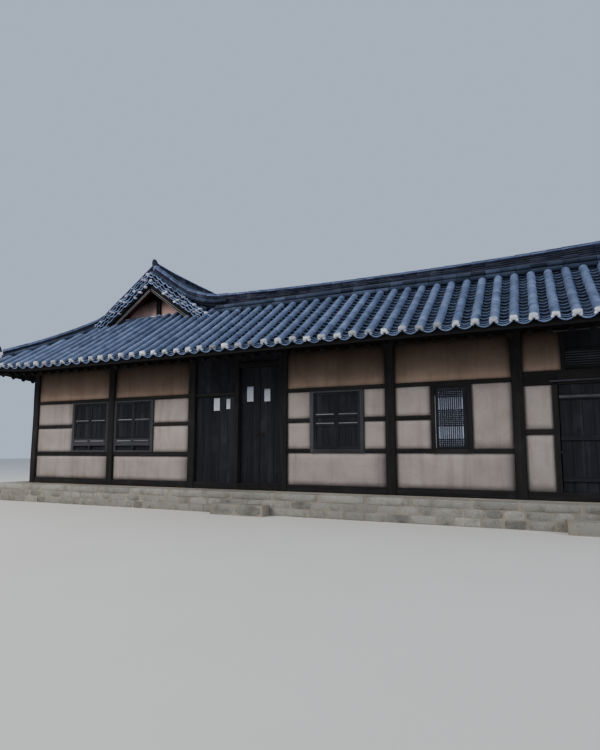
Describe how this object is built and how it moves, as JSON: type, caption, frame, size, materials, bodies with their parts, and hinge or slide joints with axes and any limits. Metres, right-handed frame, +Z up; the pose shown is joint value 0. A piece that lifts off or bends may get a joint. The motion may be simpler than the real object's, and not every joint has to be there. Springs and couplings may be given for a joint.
{
  "type": "hanok house",
  "caption": "L-shaped timber house with tiled hip-and-gable roofs, daub walls, boarded windows, an inner gate passage and a store with swinging board doors.",
  "frame": {"origin": "on the ground, at the middle of the eaves' outline", "axes": "+X right along the facade, +Y towards the back, +Z up"},
  "size_m": [17, 9.68, 6.78],
  "materials": {
    "stone": "rough grey granite, weathered",
    "floor_boards": "worn boards, oiled",
    "timber": "dark brown, weathered grey at the edges",
    "door_boards": "grey-brown weathered boards",
    "wall_plaster": "earthy lime plaster, matt",
    "gable_plaster": "pinkish lime plaster, matt",
    "window_paper": "pale paper, matt",
    "roof_tile": "blue-grey fired clay, matt",
    "ridge_tile": "dark fired clay with moss and lime"
  },
  "bodies": {
    "house": {"stone_base": "stone", "wing_floor": "floor_boards", "range_floor": "floor_boards", "wing_front_frame": "timber", "range_front_frame": "timber", "gate_head": "timber", "store_head": "timber", "gate_threshold": "timber", "store_threshold": "timber", "range_end_frame": "timber", "range_back_frame": "timber", "passage_head": "timber", "wing_east_frame": "timber", "wing_back_frame": "timber", "wing_west_frame": "timber", "wing_roof_frame": "timber", "range_roof_frame": "timber", "front_rafters": "timber", "range_end_rafters": "timber", "range_back_rafters": "timber", "wing_east_rafters": "timber", "wing_back_rafters": "timber", "wing_west_rafters": "timber", "wing_window_1_leaf_1": "door_boards", "wing_window_1_leaf_2": "door_boards", "wing_window_2_leaf_1": "door_boards", "wing_window_2_leaf_2": "door_boards", "range_window_leaf_1": "door_boards", "range_window_leaf_2": "door_boards", "wing_front_infill": "wall_plaster", "range_front_infill": "wall_plaster", "range_end_infill": "wall_plaster", "range_back_infill": "wall_plaster", "wing_east_infill": "wall_plaster", "wing_back_infill": "wall_plaster", "wing_west_infill": "wall_plaster", "wing_front_gable": "gable_plaster", "wing_back_gable": "gable_plaster", "range_end_gable": "gable_plaster", "lattice_window": "window_paper", "front_roof": "roof_tile", "range_end_roof": "roof_tile", "range_back_roof": "roof_tile", "wing_east_roof": "roof_tile", "wing_back_roof": "roof_tile", "wing_west_roof": "roof_tile", "wing_ridges": "ridge_tile", "range_ridges": "ridge_tile"},
    "gate_left": {"gate_leaf_1": "door_boards"},
    "gate_right": {"gate_leaf_2": "door_boards"},
    "store_left": {"store_leaf_1": "door_boards"},
    "store_right": {"store_leaf_2": "door_boards"}
  },
  "joints": [
    {"name": "gate_left_hinge", "type": "hinge", "parent": "house", "child": "gate_left", "pos_m": [-0.778, -3.73, 1.6], "axis": [0, 0, 1], "range_deg": [0, 90]},
    {"name": "gate_right_hinge", "type": "hinge", "parent": "house", "child": "gate_right", "pos_m": [0.228, -3.73, 1.6], "axis": [0, 0, -1], "range_deg": [0, 90]},
    {"name": "store_left_hinge", "type": "hinge", "parent": "house", "child": "store_left", "pos_m": [5.895, -3.87, 1.6], "axis": [0, 0, -1], "range_deg": [0, 90]},
    {"name": "store_right_hinge", "type": "hinge", "parent": "house", "child": "store_right", "pos_m": [7.338, -3.87, 1.6], "axis": [0, 0, 1], "range_deg": [0, 90]}
  ]
}
